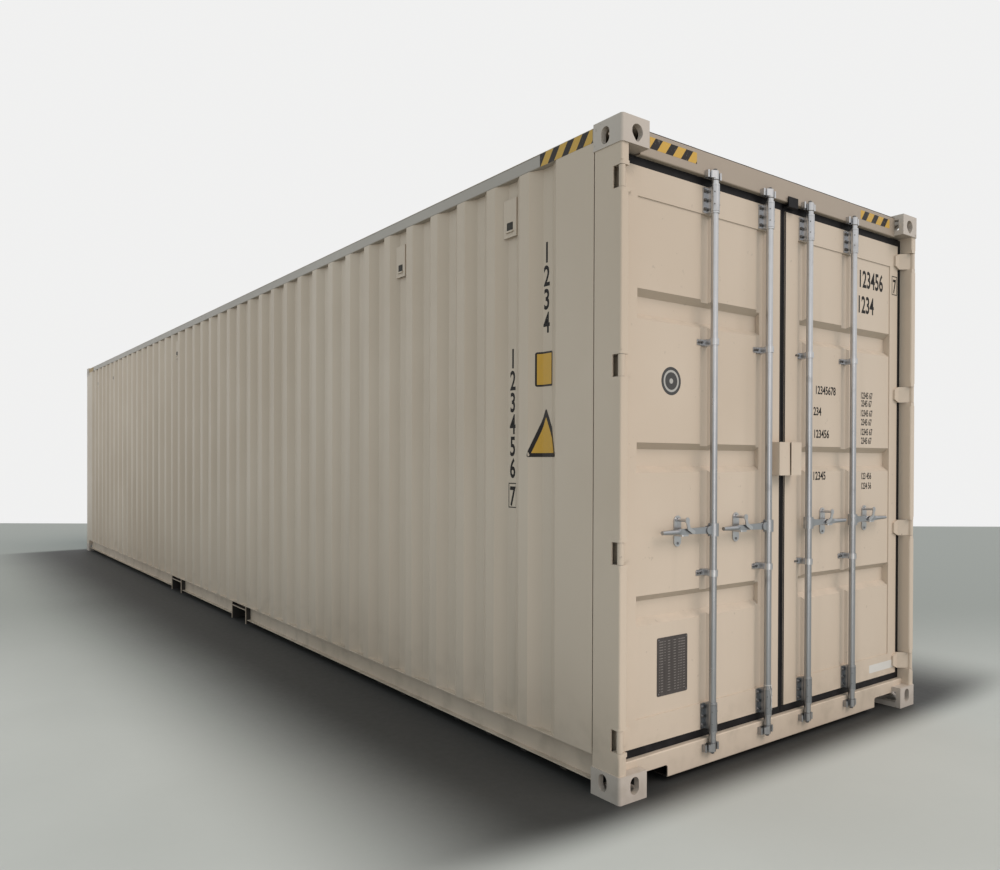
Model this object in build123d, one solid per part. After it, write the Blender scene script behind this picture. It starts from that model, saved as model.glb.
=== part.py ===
from build123d import *
from math import floor, hypot
import os

# A forty foot high-cube dry freight container, in millimetres.
# X runs along the length with the doors at the high end, Y across, Z up; origin under the middle.

# Overall size and corner castings
length = 12192.0
width = 2438.0
height = 2896.0
casting_x = 178.0
casting_y = 162.0
casting_z = 118.0
casting_wall = 28.0
casting_edge = 14.0
slot_length = 124.0
slot_width = 63.5
slot_from_end = 103.5
slot_from_side = 89.5
hole_w = 51.0
hole_h = 75.0
hole_z = 67.0
shield_w = 64.0
shield_foot_w = 30.0

# How far the structure lies behind the faces of the castings
side_setback = 4.0
post_setback = 6.0
frame_setback = 54.0
leaf_setback = 76.0
roof_setback = 14.0

# Posts, rails and beams
door_post_y = 45.0
door_post_wall = 6.0
front_post_wall = 8.0
front_return = 36.0
top_rail_size = 60.0
top_rail_wall = 4.0
bottom_rail_low = 48.0
bottom_rail_h = 126.5
bottom_rail_y = 44.0
bottom_rail_foot = 30.0
bottom_rail_wall = 4.5
beam_x = 92.0
beam_wall = 5.0
header_h = 112.0
sill_top = 150.0
sill_bottom = 26.0
sill_notch_w = 190.0
sill_notch_h = 57.0
sill_notch_r = 14.0

# Wall and roof sheets
sheet = 2.0
side_pitch = 278.0
side_flat = 72.0
side_slope = 68.0
side_depth = 36.0
side_end_flat = 250.0
front_pitch = 250.0
front_flat = 70.0
front_slope = 55.0
front_depth = 45.0
front_end_flat = 60.0
roof_pitch = 209.0
roof_trough_w = 110.0
roof_trough_floor = 46.0
roof_trough_depth = 20.0
roof_margin = 150.0
roof_lap = 3.0

# Ventilators, each in one recess of a side wall, counted from the door end
vent_recesses = (1, 5, 23, 35, 39)
vent_w = 105.0
vent_h = 188.0
vent_depth = 18.0
vent_drop = 156.0
vent_play = 0.5

# Floor and underframe
floor_thick = 28.0
floor_rail_y = 140.0
floor_step = 10.0
member_h = 122.0
member_flange = 45.0
member_wall = 4.0
member_pitch = 302.0
tunnel_length = 3315.0
tunnel_width = 1029.0
tunnel_wall = 4.5
tunnel_flange = 50.0
tunnel_foot = 12.5
pocket_width = 360.0
pocket_wall = 6.0
pocket_x = (1265.0, -785.0)

# Door leaves
opening_gap = 17.0
leaf_edge_gap = 35.0
leaf_bottom_gap = 38.0
leaf_top_gap = 40.0
leaf_thick = 50.0
leaf_wall = 3.0
stile_outer = 85.0
leaf_rail_top = 130.0
leaf_rail_bottom = 122.0
panel_recess = 5.0
trough_pitch = 675.0
trough_count = 3
trough_open = 134.0
trough_floor = 76.0
trough_depth = 34.0
groove_open = 80.0
groove_floor = 48.0
groove_depth = 12.0
gasket_thick = 15.0
gasket_depth = 3.0
gasket_play = 1.0
gasket_middle = 2.0
lap_thick = 6.0
lap_w = 80.0
lap_h = 28.0
lap_clear = 5.0

# Hinges
pin_inset = 20.0
pin_r = 8.0
pin_play = 0.3
knuckle_r = 14.0
hinge_count = 4
hinge_above_leaf_bottom = 74.0
hinge_below_leaf_top = 92.0
blade_h = 92.0
blade_end_h = 58.0
blade_thick = 12.0
blade_pad = 42.0
lug_thick = 18.0
lug_play = 1.5
lug_x = 52.0

# Locking bars and their bearings
bar_r = 17.0
bar_setback = 32.0
bar_inner_y = 171.0
bar_outer_y = 589.0
bar_over_header = 22.0
bar_over_sill = 66.0
collar_r = 22.0
collar_h = 8.0
collar_play = 1.0
bearing_play = 0.6
bearing_wall = 4.5
bearing_stem = 30.0
bearing_foot_x = 6.0
bearing_foot_y = 72.0
low_bearing_h = 119.0
low_bearing_gap = 3.0
high_bearing_h = 117.0
high_bearing_gap = 8.0
short_bearing_h = 30.0
short_bearing_foot_y = 44.0
short_bearing_below_handle = 202.0
short_bearing_over_middle = 541.0

# Cams at the ends of the bars and the keepers that hold them
cam_h = 34.0
cam_reach = 30.0
cam_nose_r = 8.0
cam_gap = 6.0
keeper_back = 4.0
keeper_lug = 12.0
keeper_x = 24.0

# Handles
handle_over_leaf_bottom = 938.0
handle_len = 345.0
handle_h = 26.0
handle_eye_r = 16.0
handle_thick = 12.0
handle_flat_end = 226.0
handle_neck = 22.0
grip_r = 12.0
grip_end_r = 9.0
hub_h = 60.0
hub_r = 25.0
hub_cheek = 4.0
hub_cheek_r = 19.0
hub_play = 1.0
hub_pin_r = 6.0
hub_pivot = 36.0

# Catches that hold the handles
catch_reach = 196.0
catch_w = 46.0
catch_h = 142.0
catch_plate = 6.0
catch_pivot_up = 51.0
catch_post_r = 7.0
catch_ring_r = 14.0
catch_arm_r = 9.0
catch_elbow = (10.0, 14.0)
catch_tip = (42.0, -3.0)
catch_lever = 5.0
lever_clear = 6.0
jaw_h = 8.0
seat_play = 0.3

# Hoods of the lock box on the meeting stiles
hood_h = 168.0
hood_wall = 4.0
hood_edge = 6.0
right_hood_x = 65.0
right_hood_y = (-9.0, 79.0)
left_hood_x = 58.0
left_hood_y = (-98.0, -14.0)

# Worked out from the sizes above
half_l = length / 2
half_w = width / 2
post_face = half_l - post_setback
post_back = half_l - casting_x
side_face = half_w - side_setback
frame_face = half_l - frame_setback
frame_back = frame_face - beam_x
front_back = -post_face + beam_x
casting_in = half_w - casting_y
post_low = casting_z
post_high = height - casting_z
top_rail_high = height - roof_setback
top_rail_low = top_rail_high - top_rail_size
bottom_rail_high = bottom_rail_low + bottom_rail_h
web_y = side_face - bottom_rail_y
web_in = web_y - bottom_rail_wall
header_bottom = top_rail_high - header_h
member_top = sill_top - floor_step
member_low = member_top - member_h
floor_top = member_top + floor_thick
tunnel_end = -half_l + tunnel_length

leaf_face = half_l - leaf_setback
leaf_back = leaf_face - leaf_thick
panel_face = leaf_face - panel_recess
groove_face = panel_face - groove_depth
opening_y = side_face - door_post_y
leaf_out = opening_y - leaf_edge_gap
leaf_bottom = sill_top + leaf_bottom_gap
leaf_top = header_bottom - leaf_top_gap
leaf_middle = (leaf_bottom + leaf_top) / 2
panel_low = leaf_bottom + leaf_rail_bottom
panel_high = leaf_top - leaf_rail_top
panel_out = leaf_out - stile_outer
panel_in = bar_inner_y - groove_open / 2

lug_back = post_face - lug_x
pin_x = half_l - pin_inset
pin_y = half_w - pin_inset
hinge_low = leaf_bottom + hinge_above_leaf_bottom
hinge_high = leaf_top - hinge_below_leaf_top
hinge_z = [hinge_low + i * (hinge_high - hinge_low) / (hinge_count - 1) for i in range(hinge_count)]
hinge_reach = blade_h / 2 + lug_play + lug_thick

bar_x = half_l - bar_setback
bar_y = (-bar_outer_y, -bar_inner_y, bar_inner_y, bar_outer_y)
bar_low = sill_bottom + bar_over_sill
bar_high = header_bottom + bar_over_header
handle_z = leaf_bottom + handle_over_leaf_bottom
handle_back = bar_x - handle_thick / 2
handle_front = bar_x + handle_thick / 2
hub_back = handle_back - hub_play - hub_cheek
hub_front = handle_front + hub_play + hub_cheek
lever_back = handle_front + lever_clear
catch_pivot_z = handle_z + catch_pivot_up
long_bearings = (
    (leaf_bottom + low_bearing_gap, leaf_bottom + low_bearing_gap + low_bearing_h),
    (leaf_top - high_bearing_gap - high_bearing_h, leaf_top - high_bearing_gap),
)
short_bearings = (handle_z - short_bearing_below_handle, leaf_middle + short_bearing_over_middle)
side_names = {-1: "left", 1: "right"}


def block(x0, x1, y0, y1, z0, z1):
    return Pos((x0 + x1) / 2, (y0 + y1) / 2, (z0 + z1) / 2) * Box(abs(x1 - x0), abs(y1 - y0), abs(z1 - z0))


def rod(x, y, z0, z1, r):
    return Pos(x, y, z0) * Cylinder(r, z1 - z0, align=(Align.CENTER, Align.CENTER, Align.MIN))


def rod_x(x0, x1, y, z, r):
    return Pos(x0, y, z) * Rot(0, 90, 0) * Cylinder(r, x1 - x0, align=(Align.CENTER, Align.CENTER, Align.MIN))


def prism(face, z0, z1):
    return extrude(Pos(0, 0, z0) * face, z1 - z0)


# A plate between two distances along X, from an outline drawn with Y across and Z up.
def plate_x(outline, x0, x1):
    return extrude(Plane.YZ.offset(x0) * outline, x1 - x0)


def polygon(points):
    return make_face(Polyline(*points, close=True))


# The outline round two circles, each given as across, up and radius.
def link(first, second):
    circles = [edge for across, up, r in (first, second) for edge in (Pos(across, up) * Circle(r)).edges()]
    return make_hull(circles)


# The outline of a bent sheet, from the line along its middle, with square mitres at the bends.
def bent_sheet(points, thick):
    normals = []
    for (ax, ay), (bx, by) in zip(points, points[1:]):
        run = hypot(bx - ax, by - ay)
        normals.append((-(by - ay) / run, (bx - ax) / run))
    sides = []
    for sign in (1, -1):
        line = []
        for i, (x, y) in enumerate(points):
            near = normals[max(i - 1, 0)]
            far = normals[min(i, len(normals) - 1)]
            scale = sign * thick / 2 / (1 + near[0] * far[0] + near[1] * far[1])
            line.append((x + scale * (near[0] + far[0]), y + scale * (near[1] + far[1])))
        sides.append(line)
    return polygon(sides[0] + sides[1][::-1])


# How many recesses a corrugated sheet holds, and where the first one starts.
def wave_layout(start, end, pitch, flat, end_flat):
    count = int((end - start - 2 * end_flat + flat) / pitch)
    return count, (start + end - count * pitch + flat) / 2


# A trapezoid wave that starts and ends on its high level.
def wave(start, end, pitch, flat, slope, end_flat, high, low):
    count, first = wave_layout(start, end, pitch, flat, end_flat)
    points = [(start, high)]
    for i in range(count):
        left = first + i * pitch
        right = left + pitch - flat
        points += [(left, high), (left + slope, low), (right - slope, low), (right, high)]
    return points + [(end, high)]


def mirror_y(shape):
    return mirror(shape, Plane.XZ)


def mirror_x(shape):
    return mirror(shape, Plane.YZ)


# Corner castings
def casting(door_end, side, top):
    body = Box(casting_x, casting_y, casting_z)
    outer = body.edges().filter_by(Axis.Z).sort_by(Axis.X)[-2:].sort_by(Axis.Y)[:1]
    body = fillet(outer, casting_edge)
    body -= Pos(-casting_wall / 2, casting_wall / 2, 0) * Box(
        casting_x - casting_wall, casting_y - casting_wall, casting_z - 2 * casting_wall
    )
    through = 2 * casting_wall
    slot_x = casting_x / 2 - slot_from_end
    slot_y = -casting_y / 2 + slot_from_side
    slot = extrude(SlotOverall(slot_length, slot_width), through)
    body -= Pos(slot_x, slot_y, -casting_z / 2 - casting_wall) * slot
    centre = -casting_z / 2 + hole_z
    side_hole = extrude(SlotOverall(hole_h, hole_w, rotation=90), through)
    body -= Pos(slot_x, -casting_y / 2 + casting_wall, centre) * Rot(90, 0, 0) * side_hole
    end_outline = SlotOverall(hole_h, hole_w, rotation=90)
    if top:
        # The hole in the end of an upper casting is a shield, wide above and narrow below.
        rise = (hole_h - shield_w) / 2
        drop = (hole_h - shield_foot_w) / 2
        end_outline = link((0, -rise, shield_w / 2), (0, drop, shield_foot_w / 2))
    body -= plate_x(Pos(slot_y, centre) * end_outline, casting_x / 2 - casting_wall, casting_x / 2 + casting_wall)
    body = Pos(half_l - casting_x / 2, -half_w + casting_y / 2, casting_z / 2) * body
    if top:
        body = Pos(0, 0, height) * mirror(body, Plane.XY)
    if side > 0:
        body = mirror_y(body)
    return body if door_end else mirror_x(body)


def castings(door_end, top):
    return [casting(door_end, side, top) for side in (-1, 1)]


# Posts
def door_post(side):
    outer = Pos((post_face + post_back) / 2, -side_face + door_post_y / 2) * Rectangle(
        post_face - post_back, door_post_y
    )
    outer = fillet(outer.vertices(), door_post_wall * 1.5)
    post = prism(outer - offset(outer, -door_post_wall), post_low, post_high)
    for z in hinge_z:
        post -= block(lug_back, half_l, -half_w, -opening_y + 1, z - hinge_reach, z + hinge_reach)
    return post if side < 0 else mirror_y(post)


def front_post(side):
    half = front_post_wall / 2
    x_front = -(post_face - half)
    y_side = -(side_face - half)
    line = [
        (-post_back - half, y_side + front_return),
        (-post_back - half, y_side),
        (x_front, y_side),
        (x_front, -casting_in - half),
        (x_front + front_return, -casting_in - half),
    ]
    post = prism(bent_sheet(line, front_post_wall), post_low, post_high)
    return post if side < 0 else mirror_y(post)


# Rails along the sides
def top_rail(side):
    outer = Pos(-side_face + top_rail_size / 2, top_rail_low + top_rail_size / 2) * RectangleRounded(
        top_rail_size, top_rail_size, top_rail_wall * 1.5
    )
    rail = plate_x(outer - offset(outer, -top_rail_wall), -post_back, post_back)
    return rail if side < 0 else mirror_y(rail)


def bottom_rail(side):
    half = bottom_rail_wall / 2
    line = [
        (-side_face, bottom_rail_high - half),
        (-web_y + half, bottom_rail_high - half),
        (-web_y + half, bottom_rail_low + half),
        (-web_y - bottom_rail_foot, bottom_rail_low + half),
    ]
    rail = plate_x(bent_sheet(line, bottom_rail_wall), -post_back, post_back)
    for x in pocket_x:
        reach = pocket_width / 2 + pocket_wall
        rail -= block(x - reach, x + reach, -half_w, -web_in + 1, 0, bottom_rail_high - bottom_rail_wall)
    return rail if side < 0 else mirror_y(rail)


# Beams across the ends, each with a lap for the roof sheet where it has one
def hollow_beam(x0, x1, z0, z1, wall, reach=casting_in):
    outer = Pos((x0 + x1) / 2, (z0 + z1) / 2) * RectangleRounded(x1 - x0, z1 - z0, wall * 1.2)
    return extrude(Plane.XZ * (outer - offset(outer, -wall)), reach, both=True)


def roof_lap_plate(x0, x1):
    return block(x0, x1, -casting_in, casting_in, top_rail_high, top_rail_high + roof_lap)


def door_header():
    beam = hollow_beam(frame_back, frame_face, header_bottom, top_rail_high, beam_wall)
    return beam + roof_lap_plate(post_back, frame_face - beam_wall)


def sill_notch(x0, x1):
    outline = Pos(casting_in - sill_notch_w / 2, sill_bottom) * RectangleRounded(
        sill_notch_w, 2 * sill_notch_h, sill_notch_r
    )
    notch = plate_x(outline, x0, x1)
    return [notch, mirror_y(notch)]


# The sill's upper part runs on over the castings to the posts.
def door_sill():
    beam = hollow_beam(frame_back, frame_face, sill_bottom, sill_top, beam_wall, opening_y)
    seat = block(frame_back - 1, frame_face + 1, casting_in, half_w, 0, casting_z)
    return beam - seat - mirror_y(seat) - sill_notch(frame_back - 1, frame_face + 1)


def front_top_rail():
    beam = hollow_beam(-post_face, -post_face + top_rail_size, top_rail_low, top_rail_high, top_rail_wall)
    return beam + roof_lap_plate(-post_face + top_rail_wall, -post_back)


def front_bottom_rail():
    beam = hollow_beam(-post_face, front_back, sill_bottom, sill_top, beam_wall)
    mouth = tunnel_width / 2 + tunnel_wall
    return beam - block(-half_l, front_back + 1, -mouth, mouth, 0, member_top)


# Corrugated walls and roof
def side_wall(side):
    high = -side_face + sheet / 2
    line = wave(-post_back, post_back, side_pitch, side_flat, side_slope, side_end_flat, high, high + side_depth)
    wall = prism(bent_sheet(line, sheet), bottom_rail_high, top_rail_low)
    return wall if side < 0 else mirror_y(wall)


def front_wall():
    high = -post_face + sheet / 2
    line = wave(
        -casting_in, casting_in, front_pitch, front_flat, front_slope, front_end_flat, high, high + front_depth
    )
    face = bent_sheet([(x, y) for y, x in line], sheet)
    return prism(face, sill_top, top_rail_low)


# A trough with sloping sides and ends, from its half sizes at the top
def roof_trough(half_x, half_y, top):
    run = (roof_trough_w - roof_trough_floor) / 2
    across, along = (
        polygon([(-half, top), (run - half, top - roof_trough_depth), (half - run, top - roof_trough_depth), (half, top)])
        for half in (half_x, half_y)
    )
    return extrude(Plane.XZ * across, half_y, both=True) & extrude(Plane.YZ * along, half_x, both=True)


def roof():
    z = top_rail_high
    panel = block(-post_back, post_back, -side_face, side_face, z, z + sheet)
    half_x = roof_trough_w / 2
    half_y = casting_in - top_rail_size / 2
    count = floor((2 * post_back - roof_margin) / roof_pitch)
    spots = [Pos((i - (count - 1) / 2) * roof_pitch, 0, 0) for i in range(count)]
    shell = roof_trough(half_x + sheet, half_y + sheet, z)
    hollow = roof_trough(half_x, half_y, z + sheet)
    panel += [spot * shell for spot in spots]
    panel -= [spot * hollow for spot in spots]
    return panel


# A pressed cover that fills its recess, shut above and open below
def ventilator(recess, side):
    count, first = wave_layout(-post_back, post_back, side_pitch, side_flat, side_end_flat)
    x = first + (count - 1 - recess) * side_pitch + (side_pitch - side_flat) / 2
    floor_half = (side_pitch - side_flat) / 2 - side_slope - vent_play
    spread = vent_w / 2 - floor_half
    seat = -side_face + side_depth
    foot = seat - spread * side_depth / side_slope
    outline = polygon([
        (x - floor_half, seat), (x - vent_w / 2, foot), (x - vent_w / 2, seat - vent_depth),
        (x + vent_w / 2, seat - vent_depth), (x + vent_w / 2, foot), (x + floor_half, seat),
    ])
    top = height - vent_drop
    cover = prism(outline, top - vent_h, top) - prism(offset(outline, -sheet), top - vent_h, top - sheet)
    return cover if side < 0 else mirror_y(cover)


def ventilators():
    return [ventilator(recess, side) for side in (-1, 1) for recess in vent_recesses]


# Floor and underframe
def floor_boards():
    boards = []
    for side in (-1, 1):
        y0, y1 = sorted((side * floor_rail_y / 2, side * web_in))
        boards.append(block(front_back, frame_back, y0, y1, member_top, floor_top))
    return boards


def floor_rail():
    return block(front_back, frame_back, -floor_rail_y / 2, floor_rail_y / 2, member_top, floor_top)


def channel(x, y0, y1):
    half = member_wall / 2
    line = [
        (x + member_flange - half, member_top - half),
        (x + half, member_top - half),
        (x + half, member_low + half),
        (x + member_flange - half, member_low + half),
    ]
    return extrude(Plane.XZ.offset(-y0) * bent_sheet(line, member_wall), -(y1 - y0))


def cross_members():
    start = frame_back - member_pitch
    count = int((start - front_back) / member_pitch)
    members = []
    for i in range(count + 1):
        x = start - i * member_pitch
        clear = pocket_width / 2 + pocket_wall + member_flange
        if any(abs(x + member_flange / 2 - p) < clear for p in pocket_x):
            continue
        if x < tunnel_end + member_flange:
            outer = tunnel_width / 2 + tunnel_wall
            members += [channel(x, -web_in, -outer), channel(x, outer, web_in)]
        else:
            members.append(channel(x, -web_in, web_in))
    return members


# Each pocket is open below, and its cheeks close the ends of the rails it passes through.
def fork_pockets():
    pockets = []
    for x in pocket_x:
        reach = pocket_width / 2 + pocket_wall
        outer = Pos(x, (member_low + member_top) / 2) * Rectangle(2 * reach, member_h)
        inner = Pos(x, (member_low + member_top - pocket_wall) / 2) * Rectangle(
            pocket_width, member_h - pocket_wall
        )
        pocket = extrude(Plane.XZ * (outer - inner), side_face, both=True)
        high = bottom_rail_high - bottom_rail_wall
        for near in (x - reach, x + reach - pocket_wall):
            for y in (-side_face, web_y):
                pocket += block(near, near + pocket_wall, y, y + side_face - web_y, member_low, high)
        pockets.append(pocket)
    return pockets


def gooseneck_tunnel():
    half = tunnel_wall / 2
    y = tunnel_width / 2 + half
    line = [
        (-y - tunnel_flange, tunnel_foot + half),
        (-y, tunnel_foot + half),
        (-y, member_top - half),
        (y, member_top - half),
        (y, tunnel_foot + half),
        (y + tunnel_flange, tunnel_foot + half),
    ]
    return plate_x(bent_sheet(line, tunnel_wall), front_back, tunnel_end)


# Hinges: a bent blade with a tapered pad, between two lugs on the post
def hinge_blade(z):
    pad_x = leaf_face - pin_x + blade_thick / 2
    edge = pin_y - leaf_out
    line = [(0.0, 0.0), (pad_x, edge), (pad_x, edge + blade_pad)]
    face = bent_sheet(line, blade_thick) + Circle(knuckle_r)
    face -= Circle(pin_r + pin_play)
    blade = Pos(pin_x, -pin_y) * prism(face, z - blade_h / 2, z + blade_h / 2)
    start = -pin_y - knuckle_r
    end = -leaf_out + blade_pad
    taper = polygon([
        (start, z - blade_h / 2), (-leaf_out, z - blade_h / 2), (end, z - blade_end_h / 2),
        (end, z + blade_end_h / 2), (-leaf_out, z + blade_h / 2), (start, z + blade_h / 2),
    ])
    return blade & plate_x(taper, leaf_face, half_l)


def hinge_blades(side):
    blades = [hinge_blade(z) for z in hinge_z]
    return blades if side < 0 else [mirror_y(b) for b in blades]


def hinge_lugs():
    outline = Pos((lug_back + post_face) / 2, -side_face + door_post_y / 2) * Rectangle(lug_x, door_post_y)
    outline = fillet(outline.vertices().sort_by(Axis.X)[-2:].sort_by(Axis.Y)[:1], knuckle_r)
    outline -= Pos(pin_x, -pin_y) * Circle(pin_r)
    lugs = []
    for z in hinge_z:
        for low in (z - hinge_reach, z + hinge_reach - lug_thick):
            lug = prism(outline, low, low + lug_thick)
            lugs += [lug, mirror_y(lug)]
    return lugs


def hinge_pins():
    pins = []
    for z in hinge_z:
        pin = rod(pin_x, -pin_y, z - hinge_reach, z + hinge_reach, pin_r)
        pins += [pin, mirror_y(pin)]
    return pins


# Door leaves: a hollow frame whose cross rails are open inwards, with the pressed panel let into it
def leaf_frame(side):
    frame = block(leaf_back, leaf_face, -leaf_out, -opening_gap, leaf_bottom, leaf_top)
    frame -= block(leaf_back - 1, leaf_face + 1, -panel_out, -panel_in, panel_low, panel_high)
    low, high = leaf_bottom + leaf_wall, leaf_top - leaf_wall
    outer, inner = -leaf_out + leaf_wall, -opening_gap - leaf_wall
    hollow = block(leaf_back + leaf_wall, leaf_face - leaf_wall, outer, inner, low, high)
    for z0, z1 in ((low, panel_low - leaf_wall), (panel_high + leaf_wall, high)):
        hollow += block(leaf_back - 1, leaf_face - leaf_wall, -panel_out, -panel_in, z0, z1)
    core = block(
        leaf_back - 1, leaf_face + 1, -panel_out - leaf_wall, -panel_in + leaf_wall,
        panel_low - leaf_wall, panel_high + leaf_wall,
    )
    frame -= hollow - core
    return frame if side < 0 else mirror_y(frame)


# The outline of a pressing across its run, pressed towards low X: how wide it is open and at its floor.
def pressing(opening, flat, depth, grow):
    return polygon([
        (0, -opening / 2 - grow), (-depth - grow, -flat / 2 - grow), (-depth - grow, flat / 2 + grow),
        (0, opening / 2 + grow),
    ])


def panel_pressings(grow):
    groove = extrude(pressing(groove_open, groove_floor, groove_depth, grow), panel_high - panel_low)
    trough_face = Plane.XZ * pressing(trough_open, trough_floor, trough_depth, grow)
    trough = extrude(trough_face, bar_inner_y - panel_out - grow)
    tools = [Pos(panel_face, y, panel_low) * groove for y in (-bar_inner_y, -bar_outer_y)]
    for i in range(trough_count):
        z = leaf_middle + (i - (trough_count - 1) / 2) * trough_pitch
        tools.append(Pos(panel_face, -panel_out, z) * trough)
    return tools


def leaf_panel(side):
    panel = block(panel_face - sheet, panel_face, -panel_out, -panel_in, panel_low, panel_high)
    panel += panel_pressings(sheet)
    panel &= block(leaf_back, panel_face, -panel_out, -panel_in, panel_low, panel_high)
    panel -= panel_pressings(0)
    return panel if side < 0 else mirror_y(panel)


# The seal fills the gap round its leaf. The one on the right is lapped out over the header at the middle.
def leaf_gasket(side):
    front = leaf_face - gasket_depth
    back = front - gasket_thick
    gasket = block(
        back, front, -opening_y + gasket_play, -gasket_middle,
        sill_top + gasket_play, header_bottom - gasket_play,
    )
    gasket -= block(back - 1, front + 1, -leaf_out, -opening_gap, leaf_bottom, leaf_top)
    if side < 0:
        return gasket
    lap_x = frame_face + lap_clear + lap_thick / 2
    lap_z = (leaf_top + header_bottom) / 2
    line = [(front - 1, lap_z), (lap_x, lap_z), (lap_x, header_bottom + lap_h)]
    lap = extrude(Plane.XZ.offset(-lap_w - gasket_middle) * bent_sheet(line, lap_thick), lap_w)
    return mirror_y(gasket) + lap


# A round bar with thrust collars on both sides of each long bearing, turned in one
def bar_profile():
    points = [(0, bar_low), (bar_r, bar_low)]
    for low, high in long_bearings:
        for start in (low - collar_play - collar_h, high + collar_play):
            end = start + collar_h
            points += [(bar_r, start), (collar_r, start), (collar_r, end), (bar_r, end)]
    return polygon(points + [(bar_r, bar_high), (0, bar_high)])


def cam(y, way, low):
    outline = link((0, 0, bar_r), (0, way * (cam_reach - cam_nose_r), cam_nose_r))
    return Pos(bar_x, y, low) * extrude(outline, cam_h)


def lock_bar(y, way):
    bar = Pos(bar_x, y, 0) * revolve(Plane.XZ * bar_profile(), Axis.Z)
    for low in (bar_low, bar_high - cam_h):
        bar += cam(y, way, low)
    bar += rod(bar_x, y, handle_z - hub_h / 2, handle_z + hub_h / 2, hub_r)
    pivot = y + way * hub_pivot
    fork = link((y, handle_z, hub_r), (pivot, handle_z, hub_cheek_r))
    bar += plate_x(fork, hub_back, hub_front)
    slot_y = pivot - way * (handle_eye_r + hub_play)
    bar -= block(
        handle_back - hub_play, handle_front + hub_play, min(slot_y, slot_y + way * hub_h),
        max(slot_y, slot_y + way * hub_h), handle_z - hub_h, handle_z + hub_h,
    )
    return bar + rod_x(hub_back, hub_front, pivot, handle_z, hub_pin_r)


# A flat bar with an eye at the hub, drawn out to a round tapered grip
def handle(y, way):
    pivot = y + way * hub_pivot
    shelf_start = y + way * (catch_reach - catch_w / 2)
    flat_end = y + way * handle_flat_end
    taper = link((pivot, handle_z, handle_eye_r), (shelf_start, handle_z, handle_h / 2))
    body = plate_x(taper, handle_back, handle_front)
    body += block(
        handle_back, handle_front, shelf_start, flat_end, handle_z - handle_h / 2, handle_z + handle_h / 2,
    )
    outward = Plane((bar_x, flat_end, handle_z), x_dir=(1, 0, 0), z_dir=(0, way, 0))
    flat = outward * Rectangle(handle_thick, handle_h)
    neck = outward.offset(handle_neck) * Circle(grip_r)
    tip = outward.offset(handle_len - handle_flat_end) * Circle(grip_end_r)
    body += loft([flat, neck]) + loft([neck, tip])
    return body - rod_x(handle_back - 1, handle_front + 1, pivot, handle_z, hub_pin_r + pin_play)


# A saddle over the bar on a foot that is seated on the leaf
def bearing(y, low, high, seat, foot_y):
    outer = bar_r + bearing_play + bearing_wall
    section = Pos(bar_x, y) * Circle(outer)
    section += Pos((seat + bar_x) / 2, y) * Rectangle(bar_x - seat, bearing_stem)
    section += Pos(seat + bearing_foot_x / 2, y) * Rectangle(bearing_foot_x, foot_y)
    section -= Pos(bar_x, y) * Circle(bar_r + bearing_play)
    return prism(section, low, high)


def leaf_bearings(side):
    parts = []
    for y in bar_y:
        if y * side > 0:
            parts += [bearing(y, low, high, leaf_face, bearing_foot_y) for low, high in long_bearings]
            parts += [
                bearing(y, z - short_bearing_h / 2, z + short_bearing_h / 2, groove_face, short_bearing_foot_y)
                for z in short_bearings
            ]
    return parts


# A keeper is a bent plate on the beam, with a lug on each side of the cam.
def cam_keepers():
    half = cam_reach + cam_gap + keeper_lug / 2
    outer = half + keeper_lug / 2
    back = Pos(keeper_back / 2, 0) * Rectangle(keeper_back, 2 * outer)
    lugs = [
        Pos(keeper_x / 2, at) * RectangleRounded(keeper_x, keeper_lug, keeper_lug / 3) for at in (-half, half)
    ]
    keeper = extrude(back + lugs, cam_h)
    return [Pos(frame_face, y, low) * keeper for y in bar_y for low in (bar_low, bar_high - cam_h)]


# Catches: a base with a shelf that the handle rests on, and a lever that swings down in front of it
def catch_base(y, way):
    at = y + way * catch_reach
    plate = plate_x(Pos(at, handle_z) * SlotOverall(catch_h, catch_w, rotation=90), panel_face, panel_face + catch_plate)
    jaw_top = handle_z - handle_h / 2 - seat_play
    jaw = block(panel_face, handle_front, at - catch_w / 2, at + catch_w / 2, jaw_top - jaw_h, jaw_top)
    jaw = fillet(jaw.edges().filter_by(Axis.Z).sort_by(Axis.X)[-2:], jaw_h)
    return plate + jaw + rod_x(panel_face, lever_back + catch_lever, at, catch_pivot_z, catch_post_r)


def leaf_catch_bases(side):
    return [catch_base(y, side) for y in bar_y if y * side > 0]


def catch(y, way):
    at = y + way * catch_reach
    elbow = (at - way * catch_elbow[0], handle_z + catch_elbow[1], catch_arm_r)
    tip = (at - way * catch_tip[0], handle_z + catch_tip[1], catch_arm_r)
    outline = Pos(at, catch_pivot_z) * Circle(catch_ring_r)
    outline += link((at, catch_pivot_z, catch_arm_r), elbow)
    outline += link(elbow, tip)
    outline -= Pos(at, catch_pivot_z) * Circle(catch_post_r + pin_play)
    return plate_x(outline, lever_back, lever_back + catch_lever)


# One half of the lock box: a bent hood, open below and towards the other half
def hood(y_range, depth, side):
    low = leaf_middle - hood_h / 2
    high = low + hood_h
    outer = block(leaf_face, leaf_face + depth, *y_range, low, high)
    bends = outer.edges().filter_by(Axis.Z).sort_by(Axis.X)[-2:].sort_by(Axis.Y)
    outer = fillet(bends[-1] if side > 0 else bends[0], hood_edge)
    inside = Pos(-hood_wall, -side * hood_wall, -hood_wall) * block(
        leaf_face, leaf_face + depth, *y_range, low, high
    )
    return outer - inside


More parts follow.
